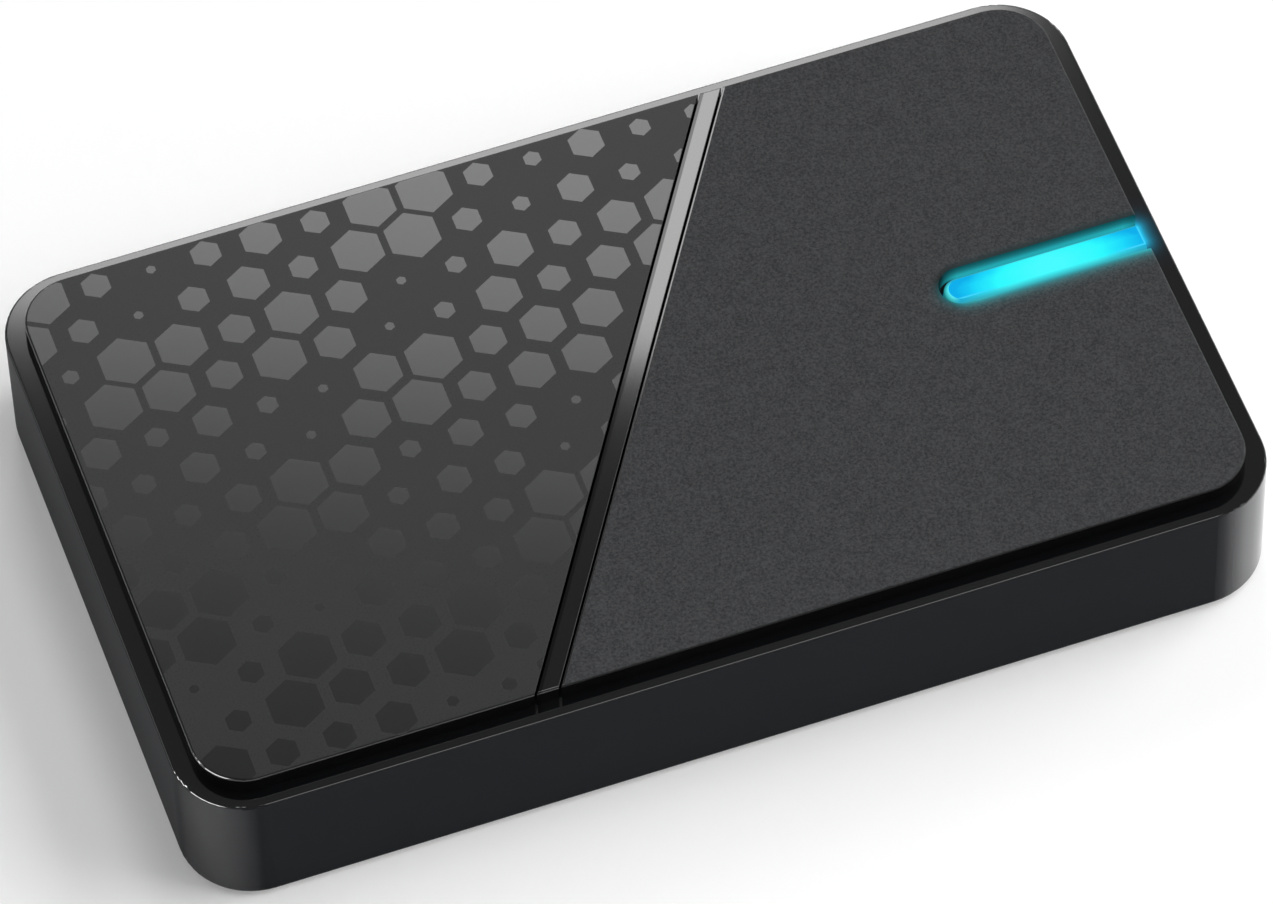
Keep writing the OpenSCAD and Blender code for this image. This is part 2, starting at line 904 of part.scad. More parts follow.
module video_contacts() {
    start = video_tongue_set + video_contact_set;
    len = video_depth - video_back - start;
    up = video_mid + video_tongue_up + video_tongue_t / 2;
    down = up - video_tongue_t - video_contact_t;
    color(contact_gold) {
        contact_row(video_upper_count, video_pitch, video_contact_w, len, video_contact_t, start, up);
        contact_row(video_lower_count, video_pitch, video_contact_w, len, video_contact_t, start, down);
    }
}

module video_in_shell() {
    at_back(video_in_x)
        video_shell();
}

module video_in_insert() {
    at_back(video_in_x)
        video_insert();
}

module video_in_contacts() {
    at_back(video_in_x)
        video_contacts();
}

module video_out_shell() {
    at_back(video_out_x)
        video_shell();
}

module video_out_insert() {
    at_back(video_out_x)
        video_insert();
}

module video_out_contacts() {
    at_back(video_out_x)
        video_contacts();
}

// A bar with round sides, from y = 0 into the case, w wide and h high
module pill(w, h, len) {
    rotate([90, 0, 0]) {
        for (side = [0, 1])
            rotate(180 * side)
                translate([(w - h) / 2, 0, 0])
                    rotate(-90)
                        rotate_extrude(angle = 180)
                            square([h / 2, len]);
        translate([-(w - h) / 2, -h / 2, 0])
            cube([w - h, h, len]);
    }
}

module data_socket_shell() {
    color(metal_grey)
        at_back(data_x) {
            translate([0, 0, data_mid])
                difference() {
                    pill(data_w + 2 * data_t, data_h + 2 * data_t, data_depth);
                    translate([0, over, 0])
                        pill(data_w, data_h, data_depth + 2 * over);
                }
            shell_legs(data_w, data_t, data_mid, data_leg_far);
        }
}

module data_socket_insert() {
    tongue_len = data_depth - data_back - data_tongue_set;
    color(chip_black)
        at_back(data_x)
            translate([0, 0, data_mid]) {
                translate([0, data_back - data_depth, 0])
                    pill(data_w - 2 * insert_gap, data_h - 2 * insert_gap, data_back);
                translate([-data_tongue_w / 2, -data_tongue_set - tongue_len, -data_tongue_t / 2])
                    cube([data_tongue_w, tongue_len, data_tongue_t]);
            }
}

module data_socket_contacts() {
    start = data_tongue_set + data_contact_set;
    len = data_depth - data_back - start;
    up = data_mid + data_tongue_t / 2;
    down = up - data_tongue_t - data_contact_t;
    color(contact_gold)
        at_back(data_x)
            for (z = [up, down])
                contact_row(data_row_count, data_pitch, data_contact_w, len, data_contact_t, start, z);
}

// Sound jack
module jack_body() {
    color(chip_black)
        difference() {
            union() {
                translate([-jack_w / 2, -jack_len, 0])
                    cube([jack_w, jack_len - jack_nose_len, jack_h]);
                translate([0, 0, jack_mid])
                    rotate([90, 0, 0])
                        rotate_extrude()
                            polygon([
                                [0, 0],
                                [jack_nose_r - jack_nose_chamfer, 0],
                                [jack_nose_r, jack_nose_chamfer],
                                [jack_nose_r, jack_nose_len],
                                [0, jack_nose_len]
                            ]);
            }
            translate([0, over, jack_mid])
                rotate([90, 0, 0])
                    cylinder(h = jack_bore_len + over, r = jack_bore_r);
            jack_springs(over, 0);
        }
}

// Spring leaves in the jack's sides, each with a foot on the board, or with a reach the channels for them
module jack_springs(reach, foot) {
    for (side = [-1, 1], y = jack_spring_at)
        translate([side > 0 ? jack_w / 2 - jack_spring_t : -jack_w / 2 - reach, -y - jack_spring_w / 2, 0]) {
            cube([jack_spring_t + reach, jack_spring_w, jack_spring_h]);
            if (foot > 0)
                translate([side > 0 ? 0 : -foot, 0, 0])
                    cube([jack_spring_t + foot, jack_spring_w, jack_spring_t]);
        }
}

module jack_contacts() {
    color(contact_gold)
        jack_springs(0, jack_spring_foot);
}

module headset_jack_body() {
    at_right(-jack_y)
        jack_body();
}

module headset_jack_contacts() {
    at_right(-jack_y)
        jack_contacts();
}

module line_jack_body() {
    at_right(jack_y)
        jack_body();
}

module line_jack_contacts() {
    at_right(jack_y)
        jack_contacts();
}

// A pan-head screw with its tip up and the underside of its head at z = 0
module screw(len) {
    drive_depth = head_h / 2;
    tip = thread_r / 3;
    difference() {
        rotate_extrude()
            polygon([
                [0, -head_h],
                [head_r - head_round, -head_h],
                [head_r, -head_h + head_round],
                [head_r, 0],
                [thread_r, 0],
                [thread_r, len - tip],
                [thread_r - tip, len],
                [0, len]
            ]);
        for (turn = [0, 90])
            rotate(turn)
                translate([-drive_r, -drive_w / 2, -head_h - over])
                    cube([2 * drive_r, drive_w, drive_depth + over]);
    }
}

module board_screws() {
    color(metal_grey)
        at_board_posts()
            translate([0, 0, board_z0])
                screw(board_screw_len);
}

module case_screws() {
    color(metal_grey)
        at_posts()
            translate([0, 0, cover_post_top - clamp_t])
                screw(case_screw_len);
}

// A round foot that fills its recess and stands out below the case
module foot(sx, sy) {
    color(rubber_black)
        translate([sx * post_x, sy * post_y, 0])
            rotate_extrude()
                difference() {
                    square([foot_r, foot_t]);
                    translate([foot_r - foot_edge_r, foot_edge_r])
                        mirror([0, 1])
                            corner_waste(foot_edge_r);
                }
}

upper_case();
bottom_cover();
pattern_panel();
texture_panel();
divider_strip();
pattern_panel_tape();
texture_panel_tape();
light_pipe();
status_leds();
main_board();
capture_processor();
thermal_pad();
heat_sink();
memory_chips();
video_receiver_chip();
data_bridge_chip();
audio_codec_chip();
flash_chip();
clock_crystals();
power_inductors();
bulk_capacitors();
ceramic_capacitors();
video_in_shell();
video_in_insert();
video_in_contacts();
video_out_shell();
video_out_insert();
video_out_contacts();
data_socket_shell();
data_socket_insert();
data_socket_contacts();
headset_jack_body();
headset_jack_contacts();
line_jack_body();
line_jack_contacts();
board_screws();
case_screws();
foot(-1, -1);  // foot_front_left
foot(1, -1);  // foot_front_right
foot(-1, 1);  // foot_back_left
foot(1, 1);  // foot_back_right
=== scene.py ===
"""The video capture box as photographed: its finishes, the printed panel, the studio and the camera."""

import json
import math

import bpy
from mathutils import Matrix, Vector


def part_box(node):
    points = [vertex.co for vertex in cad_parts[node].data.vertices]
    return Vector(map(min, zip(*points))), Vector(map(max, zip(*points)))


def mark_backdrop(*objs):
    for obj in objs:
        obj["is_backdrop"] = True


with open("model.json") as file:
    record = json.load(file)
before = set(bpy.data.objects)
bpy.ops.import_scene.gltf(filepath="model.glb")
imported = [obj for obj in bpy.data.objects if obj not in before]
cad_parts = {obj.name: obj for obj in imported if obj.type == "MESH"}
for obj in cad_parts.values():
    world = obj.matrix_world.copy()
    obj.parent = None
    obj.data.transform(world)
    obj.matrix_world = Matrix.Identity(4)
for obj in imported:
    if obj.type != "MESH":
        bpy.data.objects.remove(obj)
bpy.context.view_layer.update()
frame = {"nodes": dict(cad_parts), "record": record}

MM = 0.001

# Camera: angles in degrees, lengths in millimetres from the part's origin
VIEW_AZIMUTH = -17.882
VIEW_ELEVATION = 54.095
VIEW_ROLL = -1.953
VIEW_DISTANCE = 970.053
VIEW_RIGHT = 0.201
VIEW_UP = 3.343
VIEW_LENS = 262.36
SENSOR_WIDTH = 36.0

# Levels and places on the part, in millimetres
LEDGE_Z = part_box("upper_case")[1].z / MM
CASE_HALF_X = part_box("upper_case")[1].x / MM
PANEL_HALF_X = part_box("texture_panel")[1].x / MM
PANEL_HALF_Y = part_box("texture_panel")[1].y / MM
PANEL_CORNER = 5.6
BAR_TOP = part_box("light_pipe")[1].z / MM
BAR_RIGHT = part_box("light_pipe")[1].x / MM
BAR_LENGTH = 21.9
BAR_LEFT = BAR_RIGHT - BAR_LENGTH
BAR_HALF = 1.75
BAR_BEVEL = 0.5
SLOT_HALF = 2.32

# Lacquer on the ledge: how far it reaches down the rim and in under the panels, its weight and its ground
RIM_LACQUER = 0.09
RIM_SOFT = 0.02
LEDGE_INSET = 0.02
LEDGE_LACQUER = 0.78
LEDGE_BLACK = (0.003, 0.0032, 0.0036)
LEDGE_ROUGH = 0.06

# Polish on the case's upright corners: its weight at the left and the right, and the turn at which it starts
POLISH_LEFT = 0.5
POLISH_RIGHT = 1.0
POLISH_FROM = 0.15
POLISH_FULL = 0.5
POLISH_SPREAD = 0.11

# The slanted seam between the panels: the end of the grained panel's lip, and the strip's duller left facet
SEAM_ANGLE = math.radians(31.8)
SEAM_SLANT = math.tan(SEAM_ANGLE)
LIP_END = 1.42
STRIP_FACET = -0.6
STRIP_FACET_SOFT = 0.03
STRIP_FACET_COAT = 0.2

# Print on the smooth panel: hexagons in a staggered grid, in millimetres or shares of their pitch
HEX_PITCH = 6.0
HEX_ROW = math.sqrt(3)
HEX_SMALL = 0.08
HEX_LARGE = 0.45
HEX_WAVES = ((1.9, 1.1), (0.8, -1.7))
HEX_WAVE_LOW = -1.6
HEX_WAVE_HIGH = 1.2
PRINT_BLACK = (0.0065, 0.0066, 0.0068)
PRINT_ROUGH = 0.12
PRINT_COAT = 0.47

# The grained panel's top, the bare sides of both panels, and the painted shade round the slot
GRAIN_DARK = (0.018, 0.0187, 0.0203)
GRAIN_LIGHT = (0.0505, 0.0519, 0.0547)
FLECK_SHARE = 0.6
MOTTLE = 0.12
SIDE_BLACK = (0.0035, 0.0036, 0.0038)
SIDE_ROUGH = 0.12
GRAIN_SIDE_ROUGH = 0.2
# Painted shade: a black band on the grained panel round the bar's slot, its width and strength
SLOT_SHADE_WIDTH = 0.8
SLOT_SHADE_DARK = 1.0

# The lit bar: its colours from the ends to the middle, on its bevel with its bottom darker, on its round tip
# with a painted highlight at its top, and a painted highlight along its edge
BAR_GLOW = (0.06, 0.94, 0.96)
BAR_MID_GLOW = (0.024, 0.92, 0.95)
BAR_NEAR_END_GLOW = (0.008, 0.66, 0.93)
BAR_END_GLOW = (0.001, 0.4, 0.8)
BAR_STOPS = ((0.0, BAR_END_GLOW), (0.25, BAR_NEAR_END_GLOW), (0.5, BAR_MID_GLOW), (1.0, BAR_GLOW))
BAR_FADE = 9.0
BAR_DARK_LEFT = 1.2
BEVEL_GLOW = (0.05, 0.89, 0.93)
BEVEL_FADED_GLOW = (0.006, 0.42, 0.68)
BEVEL_STOPS = ((0.0, BEVEL_FADED_GLOW), (0.6, BEVEL_GLOW))
BEVEL_LOW_GLOW = (0.04, 0.31, 0.38)
TIP_GLOW_AND_HIGHLIGHT = (0.1, 0.88, 0.94)
TIP_LOW_GLOW = (0.008, 0.17, 0.17)
ARRIS_HIGHLIGHT = (0.05, 0.64, 0.95)
ARRIS_WIDTH = 0.13

# The bar's light painted on the panel's top: strengths at the near and far side and at the tip, and lengths
BLACK = (0.0, 0.0, 0.0)
PAINTED_SPILL_COLOUR = (0.042, 0.88, 1.0)
HALO_NEAR = 0.53
HALO_FAR = 0.03
HALO_SIDE = 1.5
HALO_FADE = 0.43
HALO_TIP = 0.3
HALO_TIP_LENGTH = 3.0

# The bar's light painted on the slot's walls: strengths along them and at both ends, and lengths
WALL_GLOW = 0.43
WALL_FADE = 0.75
WALL_LOW = 0.8
WALL_REACH = 0.2
WALL_TIP = 0.08
WALL_TIP_LENGTH = 2.2
WALL_END = 0.55
WALL_END_LENGTH = 1.2

# Painted light: the bar's light painted as a glow on the ledge past its right end
LEDGE_PAINTED_LIGHT_COLOUR = (0.004, 0.62, 1.0)
LEDGE_SPOT_Y = 1.0
LEDGE_SPOT_HALF = 0.9
LEDGE_GLOW = 2.15
LEDGE_FADE = 0.5


class Finish:
    """One material: its principled shader, and short calls that add the nodes in front of it."""

    def __init__(self, slot, **constants):
        self.material = bpy.data.materials.new(slot + "_finish")
        self.material.use_nodes = True
        self.nodes = self.material.node_tree.nodes
        self.links = self.material.node_tree.links
        self.shader = self.nodes["Principled BSDF"]
        for socket, value in constants.items():
            self.set(socket.replace("_", " "), value)

    def set(self, socket, value):
        """Gives one of the shader's sockets an output or a plain value."""
        self.feed(value, self.shader.inputs[socket])

    def feed(self, value, socket):
        if isinstance(value, bpy.types.NodeSocket):
            self.links.new(value, socket)
        else:
            socket.default_value = value

    def add(self, kind, inputs=(), **settings):
        node = self.nodes.new(kind)
        for name, value in settings.items():
            setattr(node, name, value)
        for socket, value in dict(inputs).items():
            self.feed(value, node.inputs[socket])
        return node

    def math(self, operation, first, second=0.0):
        return self.add("ShaderNodeMath", {0: first, 1: second}, operation=operation).outputs[0]

    def place(self):
        """The part's own coordinates, in millimetres."""
        spot = self.add("ShaderNodeTexCoord").outputs["Object"]
        scaled = self.add("ShaderNodeVectorMath", {0: spot, "Scale": 1 / MM}, operation="SCALE")
        return self.add("ShaderNodeSeparateXYZ", {0: scaled.outputs[0]}).outputs

    def facing(self):
        """The surface's own direction, from -1 to 1: X to the right, Y to the back and Z up."""
        normal = self.add("ShaderNodeTexCoord").outputs["Normal"]
        return self.add("ShaderNodeSeparateXYZ", {0: normal}).outputs

    def noise(self, size, detail=2.0, stretch=(1, 1, 1)):
        """Soft noise from 0 to 1 with features of about the given size in millimetres."""
        spot = self.add("ShaderNodeTexCoord").outputs["Object"]
        spot = self.add("ShaderNodeMapping", {"Vector": spot, "Scale": stretch}).outputs[0]
        values = {"Vector": spot, "Scale": 1 / (size * MM), "Detail": detail}
        return self.add("ShaderNodeTexNoise", values).outputs[0]

    def wrap(self, value, half):
        """Takes a value into the range from -half to half, again and again."""
        return self.add("ShaderNodeMath", {0: value, 1: half, 2: -half}, operation="WRAP").outputs[0]

    def fade(self, distance, length):
        """1 up to no distance, then falling off over the given length."""
        past = self.math("MAXIMUM", distance, 0.0)
        return self.math("EXPONENT", self.math("DIVIDE", past, -length))

    def product(self, first, *others):
        """All the given factors multiplied."""
        for other in others:
            first = self.math("MULTIPLY", first, other)
        return first

    def length(self, first, second):
        """The length of a step with two parts square to each other."""
        squares = self.math("ADD", self.product(first, first), self.product(second, second))
        return self.math("SQRT", squares)

    def outside(self, place, half_x, half_y, corner):
        """How far a point lies outside a rectangle with round corners, from above; below 0 inside it."""
        off_x = self.math("SUBTRACT", self.math("ABSOLUTE", place["X"]), half_x - corner)
        off_y = self.math("SUBTRACT", self.math("ABSOLUTE", place["Y"]), half_y - corner)
        beyond = self.length(self.math("MAXIMUM", off_x, 0.0), self.math("MAXIMUM", off_y, 0.0))
        within = self.math("MINIMUM", self.math("MAXIMUM", off_x, off_y), 0.0)
        return self.math("SUBTRACT", self.math("ADD", beyond, within), corner)

    def between(self, factor, low, high, start=0.0, end=1.0):
        """Takes start..end of a factor to low..high, held at both ends."""
        values = {"Value": factor, "From Min": start, "From Max": end, "To Min": low, "To Max": high}
        return self.add("ShaderNodeMapRange", values).outputs[0]

    def mixed(self, factor, low, high):
        """Mixes two numbers."""
        node = self.add("ShaderNodeMix", {"Factor": factor, 2: low, 3: high})
        return node.outputs[0]

    def blend(self, factor, low, high):
        """Mixes two colours."""
        node = self.add("ShaderNodeMix", {"Factor": factor}, data_type="RGBA")
        for socket, colour in ((node.inputs[6], low), (node.inputs[7], high)):
            self.feed(colour if isinstance(colour, bpy.types.NodeSocket) else (*colour, 1.0), socket)
        return node.outputs[2]

    def ramp(self, factor, stops):
        """Runs through colours, each at its share of a factor from 0 to 1."""
        node = self.add("ShaderNodeValToRGB", {"Fac": factor})
        points = node.color_ramp.elements
        while len(points) < len(stops):
            points.new(1.0)
        for point, (share, colour) in zip(points, stops):
            point.position = share
            point.color = (*colour, 1.0)
        return node.outputs[0]

    def bump(self, height, depth, strength=1.0):
        """Raises the surface by a height from 0 to 1 times a depth in millimetres."""
        values = {"Height": height, "Distance": depth * MM, "Strength": strength}
        self.set("Normal", self.add("ShaderNodeBump", values).outputs[0])


def painted_ledge_light(finish, place, high):
    """Painted light: the bar's light painted as a glow on the ledge past its right end."""
    past_end = finish.math("SUBTRACT", place["X"], BAR_RIGHT)
    off_spot = finish.math("ABSOLUTE", finish.math("SUBTRACT", place["Y"], LEDGE_SPOT_Y))
    past_side = finish.math("SUBTRACT", off_spot, LEDGE_SPOT_HALF)
    away = finish.length(past_end, finish.math("MAXIMUM", past_side, 0.0))
    return finish.product(finish.fade(away, LEDGE_FADE), high, LEDGE_GLOW)


def case_finish():
    """Satin moulding with a fine grain, polished corners and a lacquered ledge with the bar's light painted
    on as a glow.
    """
    finish = Finish("satin_case", Specular_IOR_Level=0.02, Emission_Strength=1.0,
                    Coat_Roughness=0.05, Coat_IOR=1.75)
    place = finish.place()
    facing = finish.facing()
    rim = LEDGE_Z - RIM_LACQUER
    high = finish.between(place["Z"], 0.0, 1.0, rim - RIM_SOFT, rim + RIM_SOFT)
    outside = finish.outside(place, PANEL_HALF_X, PANEL_HALF_Y, PANEL_CORNER)
    ledge = finish.product(high, finish.math("GREATER_THAN", outside, -LEDGE_INSET))
    turned = finish.math("ABSOLUTE", finish.product(facing["X"], facing["Y"]))
    spread = finish.between(place["X"], 0.0, POLISH_SPREAD, -CASE_HALF_X, CASE_HALF_X)
    corner = finish.between(finish.math("ADD", turned, spread), 0.0, 1.0, POLISH_FROM, POLISH_FULL)
    polish = finish.between(place["X"], POLISH_LEFT, POLISH_RIGHT, -CASE_HALF_X, CASE_HALF_X)
    grain = finish.noise(size=0.14, detail=3.0)
    tone = finish.blend(finish.noise(size=5.0), (0.0162, 0.0176, 0.0202), (0.0184, 0.02, 0.0228))
    finish.set("Base Color", finish.blend(ledge, tone, LEDGE_BLACK))
    matt = finish.between(grain, low=0.34, high=0.46, start=0.3, end=0.7)
    finish.set("Roughness", finish.mixed(ledge, matt, LEDGE_ROUGH))
    lacquer = finish.product(ledge, LEDGE_LACQUER)
    finish.set("Coat Weight", finish.math("MAXIMUM", lacquer, finish.product(corner, polish)))
    # Painted light: the bar's glow on the ledge past its end, as emission colour
    finish.set("Emission Color", finish.blend(painted_ledge_light(finish, place, high), BLACK, LEDGE_PAINTED_LIGHT_COLOUR))
    finish.bump(grain, depth=0.01, strength=finish.between(ledge, low=0.4, high=0.0))
    return finish.material


def cover_finish():
    """The bottom cover's coarser moulded grain."""
    finish = Finish("cover_plastic", Specular_IOR_Level=0.35)
    grain = finish.noise(0.3, 3.0)
    finish.set("Base Color", finish.blend(grain, (0.009, 0.0092, 0.0098), (0.015, 0.0152, 0.0158)))
    finish.set("Roughness", finish.between(grain, 0.45, 0.62, 0.3, 0.7))
    finish.bump(grain, 0.03, 0.6)
    return finish.material


def hexagons(finish, across, along):
    """1 inside the hexagons of one upright grid, whose sizes swell and shrink over the panel."""
    off_x = finish.wrap(across, 0.5)
    off_y = finish.wrap(along, HEX_ROW / 2)
    side_x, side_y = finish.math("ABSOLUTE", off_x), finish.math("ABSOLUTE", off_y)
    slanted = finish.math("ADD", finish.product(side_x, 0.5), finish.product(side_y, HEX_ROW / 2))
    reach = finish.math("MAXIMUM", side_x, slanted)
    cell_x, cell_y = finish.math("SUBTRACT", across, off_x), finish.math("SUBTRACT", along, off_y)
    swell = 0.0
    for step_x, step_y in HEX_WAVES:
        turn = finish.math("ADD", finish.product(cell_x, step_x), finish.product(cell_y, step_y))
        swell = finish.math("ADD", finish.math("SINE", turn), swell)
    size = finish.between(swell, HEX_SMALL, HEX_LARGE, HEX_WAVE_LOW, HEX_WAVE_HIGH)
    return finish.math("LESS_THAN", reach, size)


def print_mask(finish):
    """1 on the printed hexagons and 0 between them: two equal grids, one set between the other's places."""
    place = finish.place()
    across = finish.math("DIVIDE", place["X"], HEX_PITCH)
    along = finish.math("DIVIDE", place["Y"], HEX_PITCH)
    even = hexagons(finish, across, along)
    odd = hexagons(finish, finish.math("ADD", across, 0.5), finish.math("ADD", along, HEX_ROW / 2))
    return finish.math("MAXIMUM", even, odd)


def edge_mask(finish):
    """0 on a panel's flat top, and 1 on its rounded edge and sides."""
    return finish.between(finish.facing()["Z"], 1.0, 0.0, start=0.6, end=0.88)


def smooth_panel_finish():
    """Smooth dark panel with a tone-on-tone print in a glossier, deeper black. Its sides are bare black."""
    finish = Finish("smooth_panel", Specular_IOR_Level=0.25, Coat_Roughness=0.12)
    edge = edge_mask(finish)
    tile = finish.product(print_mask(finish), finish.math("SUBTRACT", 1.0, edge))
    fine = finish.noise(size=0.2, detail=3.0)
    ground = finish.blend(finish.noise(size=9.0), (0.0089, 0.009, 0.0093), (0.0113, 0.0114, 0.0118))
    finish.set("Base Color", finish.blend(edge, finish.blend(tile, ground, PRINT_BLACK), SIDE_BLACK))
    matt = finish.mixed(tile, finish.between(fine, low=0.25, high=0.31), PRINT_ROUGH)
    finish.set("Roughness", finish.mixed(edge, matt, SIDE_ROUGH))
    upward = finish.between(finish.facing()["Z"], 0.0, 1.0, start=0.05, end=0.3)
    rounded = finish.product(edge, upward)
    finish.set("Coat Weight", finish.math("MAXIMUM", finish.product(tile, PRINT_COAT), rounded))
    finish.bump(fine, depth=0.003, strength=0.4)
    return finish.material


def bar_reach(finish):
    """How far a point lies from the middle line of the light bar, seen from above, in millimetres."""
    place = finish.place()
    ahead = finish.math("MINIMUM", finish.math("SUBTRACT", place["X"], BAR_LEFT + BAR_HALF), 0.0)
    return finish.length(ahead, place["Y"])


def painted_bar_light(finish, up):
    """The bar's light painted as a glow on the panel round it: on the slot's walls, and a narrow painted
    halo on the top.
    """
    place = finish.place()
    reach = bar_reach(finish)
    halo = finish.fade(finish.math("SUBTRACT", reach, SLOT_HALF), HALO_FADE)
    side = finish.between(place["Y"], HALO_NEAR, HALO_FAR, -HALO_SIDE, HALO_SIDE)
    tip = finish.between(place["X"], HALO_TIP, 1.0, BAR_LEFT, BAR_LEFT + HALO_TIP_LENGTH)
    on_top = finish.product(halo, side, tip, finish.between(up, 0.0, 1.0, start=0.5, end=0.9))
    low = finish.fade(finish.math("SUBTRACT", place["Z"], BAR_TOP - WALL_LOW), WALL_FADE)
    inside = finish.math("LESS_THAN", reach, SLOT_HALF + WALL_REACH)
    left = finish.between(place["X"], WALL_TIP, 1.0, BAR_LEFT, BAR_LEFT + WALL_TIP_LENGTH)
    right = finish.between(place["X"], 1.0, WALL_END, BAR_RIGHT - WALL_END_LENGTH, BAR_RIGHT)
    upright = finish.between(up, WALL_GLOW, 0.0, start=0.3, end=0.6)
    return finish.math("ADD", on_top, finish.product(low, inside, left, right, upright))


def seam_offset(finish):
    """How far a point lies to the right of the slanted seam's middle line, in millimetres."""
    place = finish.place()
    across = finish.math("SUBTRACT", place["X"], finish.product(place["Y"], SEAM_SLANT))
    return finish.product(across, math.cos(SEAM_ANGLE))


def grain_panel_finish():
    """Panel with a fine moulded grain, a smooth lip along the seam, bare sides, a painted shade round the
    slot and the bar's light painted on as a glow.
    """
    finish = Finish("grain_panel", Specular_IOR_Level=0.18, Emission_Strength=1.0,
                    Coat_Roughness=0.05, Coat_IOR=1.55)
    up = finish.facing()["Z"]
    edge = edge_mask(finish)
    lip = finish.math("LESS_THAN", seam_offset(finish), LIP_END)
    lip = finish.product(lip, finish.math("GREATER_THAN", up, 0.97))
    fleck = finish.noise(size=0.3, detail=3.0)
    speck = finish.noise(size=0.16)
    mottle = finish.noise(size=2.2, detail=3.0)
    worn = finish.math("ADD", finish.product(fleck, FLECK_SHARE), finish.product(speck, 1 - FLECK_SHARE))
    patches = finish.product(finish.math("SUBTRACT", mottle, 0.5), MOTTLE)
    shade = finish.between(finish.math("ADD", worn, patches), 0.0, 1.0, start=0.38, end=0.62)
    top = finish.blend(shade, GRAIN_DARK, GRAIN_LIGHT)
    # Painted shade: the slot's walls and a band round the slot take the sides' black
    slot_shade = finish.between(bar_reach(finish), SLOT_SHADE_DARK, 0.0, SLOT_HALF, SLOT_HALF + SLOT_SHADE_WIDTH)
    bare = finish.math("MAXIMUM", finish.math("MAXIMUM", edge, lip), slot_shade)
    finish.set("Base Color", finish.blend(bare, top, SIDE_BLACK))
    matt = finish.between(fleck, low=0.52, high=0.7, start=0.3, end=0.7)
    finish.set("Roughness", finish.mixed(lip, finish.mixed(edge, matt, GRAIN_SIDE_ROUGH), SIDE_ROUGH))
    finish.set("Coat Weight", lip)
    # Painted light: the bar's glow on the slot's walls and a halo on the top, as emission colour
    finish.set("Emission Color", finish.blend(painted_bar_light(finish, up), BLACK, PAINTED_SPILL_COLOUR))
    finish.bump(worn, depth=0.06, strength=finish.between(bare, low=0.45, high=0.0))
    return finish.material


def strip_finish():
    """High-gloss black strip with the faintest polishing haze, and a duller facet along its left edge."""
    finish = Finish("gloss_black", Specular_IOR_Level=0.28, Coat_Roughness=0.046)
    haze = finish.noise(size=2.0)
    start, end = STRIP_FACET - STRIP_FACET_SOFT, STRIP_FACET + STRIP_FACET_SOFT
    finish.set("Coat Weight", finish.between(seam_offset(finish), STRIP_FACET_COAT, 1.0, start, end))
    finish.set("Base Color", finish.blend(haze, (0.0014, 0.0014, 0.0016), (0.002, 0.0021, 0.0023)))
    finish.set("Roughness", finish.between(haze, low=0.042, high=0.05))
    return finish.material


def light_bar_finish():
    """Lit light guide: cyan along the middle, bluer towards both ends, dimmer on its bevel and darker
    towards the bevel's bottom, with painted highlights along its near edge, at its right end and on its
    round tip.
    """
    finish = Finish("light_bar", Specular_IOR_Level=0.02, Emission_Strength=1.0)
    place = finish.place()
    facing = finish.facing()
    cloud = finish.noise(size=1.6)
    from_left = finish.math("SUBTRACT", place["X"], BAR_LEFT + BAR_DARK_LEFT)
    from_end = finish.math("MINIMUM", from_left, finish.math("SUBTRACT", BAR_RIGHT, place["X"]))
    shift = finish.between(cloud, low=-0.03, high=0.03, start=0.3, end=0.7)
    # Bluer and dimmer towards the bar's far side
    far_side = finish.between(place["Y"], low=0.0, high=0.2, start=0.2, end=1.2)
    uneven = finish.math("SUBTRACT", shift, far_side)
    along = finish.math("ADD", finish.math("DIVIDE", from_end, BAR_FADE), uneven)
    # Painted highlight: bright lines along the near edge and at the right end, in the emission colour
    arris = BAR_BEVEL + ARRIS_WIDTH - BAR_HALF
    near_highlight = finish.between(place["Y"], 1.0, 0.0, arris, arris + ARRIS_WIDTH)
    near_highlight = finish.product(near_highlight, finish.between(along, 1.0, 0.0, start=0.2, end=0.5))
    arris = BAR_RIGHT - ARRIS_WIDTH
    end_highlight = finish.between(place["X"], 0.0, 1.0, arris - ARRIS_WIDTH / 2, arris)
    painted_edge_highlight = finish.math("MAXIMUM", near_highlight, end_highlight)
    glow = finish.blend(painted_edge_highlight, finish.ramp(along, BAR_STOPS), ARRIS_HIGHLIGHT)
    bevel = finish.between(facing["Z"], 1.0, 0.0, start=0.75, end=0.95)
    leftward = finish.between(facing["X"], 1.0, 0.0, start=-0.6, end=-0.25)
    # Painted highlight: the round tip's bevel whiter at its top; the whole bevel darker towards its bottom
    down = finish.between(place["Z"], 1.0, 0.0, BAR_TOP - BAR_BEVEL, BAR_TOP)
    upper = finish.blend(leftward, finish.ramp(along, BEVEL_STOPS), TIP_GLOW_AND_HIGHLIGHT)
    lower = finish.blend(leftward, BEVEL_LOW_GLOW, TIP_LOW_GLOW)
    finish.set("Emission Color", finish.blend(bevel, glow, finish.blend(down, upper, lower)))
    finish.set("Base Color", finish.blend(cloud, (0.001, 0.02, 0.028), (0.002, 0.03, 0.036)))
    finish.set("Roughness", finish.between(cloud, low=0.3, high=0.4))
    return finish.material


def tape_finish():
    """Black adhesive sheet with its paper fibre."""
    finish = Finish("tape", Specular_IOR_Level=0.2)
    fibre = finish.noise(0.5, 4.0, (0.3, 1, 1))
    finish.set("Base Color", finish.blend(fibre, (0.008, 0.008, 0.008), (0.02, 0.02, 0.02)))
    finish.set("Roughness", finish.between(fibre, 0.7, 0.9))
    finish.bump(fibre, 0.02, 0.5)
    return finish.material


